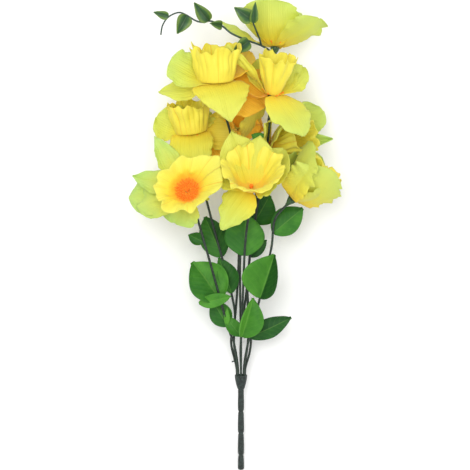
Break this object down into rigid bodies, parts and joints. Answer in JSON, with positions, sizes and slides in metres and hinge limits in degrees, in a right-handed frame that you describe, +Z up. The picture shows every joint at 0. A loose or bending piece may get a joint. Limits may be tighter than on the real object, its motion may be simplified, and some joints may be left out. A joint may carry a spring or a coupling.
{
  "type": "artificial daffodil bunch",
  "caption": "Bunch of artificial daffodils with fabric heads and leaves on wired plastic stems, joined in a slim moulded handle; lies on its side.",
  "frame": {"origin": "bottom centre of the bounding box, on the surface that the bunch lies on", "axes": "+Y along the bunch from the handle to the heads, +Z up from the surface, +X to the right when the heads point away"},
  "size_m": [0.212, 0.4692, 0.1398],
  "materials": {
    "handle_plastic": "dark slate-green moulded polyethylene, matte and slightly ribbed",
    "stem_plastic": "dark green extruded polyethylene over wire, semi-matte",
    "calyx_plastic": "green moulded polyethylene, semi-matte",
    "petal_fabric": "lemon yellow heat-pressed polyester with lime tips and golden base",
    "corona_fabric": "pleated golden polyester with an orange throat",
    "stamen_plastic": "orange moulded polyethylene with flocked tips",
    "leaf_fabric": "mid green heat-pressed polyester with soft veins",
    "vine_plastic": "dark green moulded polyethylene with yellowish leaf edges, satin gloss"
  },
  "bodies": {
    "root": {"handle": "handle_plastic", "stem_1": "stem_plastic", "calyx_1": "calyx_plastic", "petals_1": "petal_fabric", "corona_1": "corona_fabric", "stamens_1": "stamen_plastic", "stem_2": "stem_plastic", "calyx_2": "calyx_plastic", "petals_2": "petal_fabric", "corona_2": "corona_fabric", "stamens_2": "stamen_plastic", "stem_3": "stem_plastic", "calyx_3": "calyx_plastic", "petals_3": "petal_fabric", "corona_3": "corona_fabric", "stamens_3": "stamen_plastic", "stem_4": "stem_plastic", "calyx_4": "calyx_plastic", "petals_4": "petal_fabric", "corona_4": "corona_fabric", "stamens_4": "stamen_plastic", "stem_5": "stem_plastic", "calyx_5": "calyx_plastic", "petals_5": "petal_fabric", "corona_5": "corona_fabric", "stamens_5": "stamen_plastic", "stem_6": "stem_plastic", "calyx_6": "calyx_plastic", "petals_6": "petal_fabric", "corona_6": "corona_fabric", "stamens_6": "stamen_plastic", "stem_7": "stem_plastic", "calyx_7": "calyx_plastic", "petals_7": "petal_fabric", "corona_7": "corona_fabric", "stamens_7": "stamen_plastic", "stem_8": "stem_plastic", "calyx_8": "calyx_plastic", "petals_8": "petal_fabric", "corona_8": "corona_fabric", "stamens_8": "stamen_plastic", "stem_9": "stem_plastic", "calyx_9": "calyx_plastic", "petals_9": "petal_fabric", "corona_9": "corona_fabric", "stamens_9": "stamen_plastic", "leaf_1": "leaf_fabric", "leaf_2": "leaf_fabric", "leaf_3": "leaf_fabric", "leaf_4": "leaf_fabric", "leaf_5": "leaf_fabric", "leaf_6": "leaf_fabric", "leaf_7": "leaf_fabric", "leaf_8": "leaf_fabric", "leaf_9": "leaf_fabric", "leaf_10": "leaf_fabric", "leaf_11": "leaf_fabric", "leaf_12": "leaf_fabric", "leaf_13": "leaf_fabric", "vine_spray": "vine_plastic"}
  },
  "joints": []
}
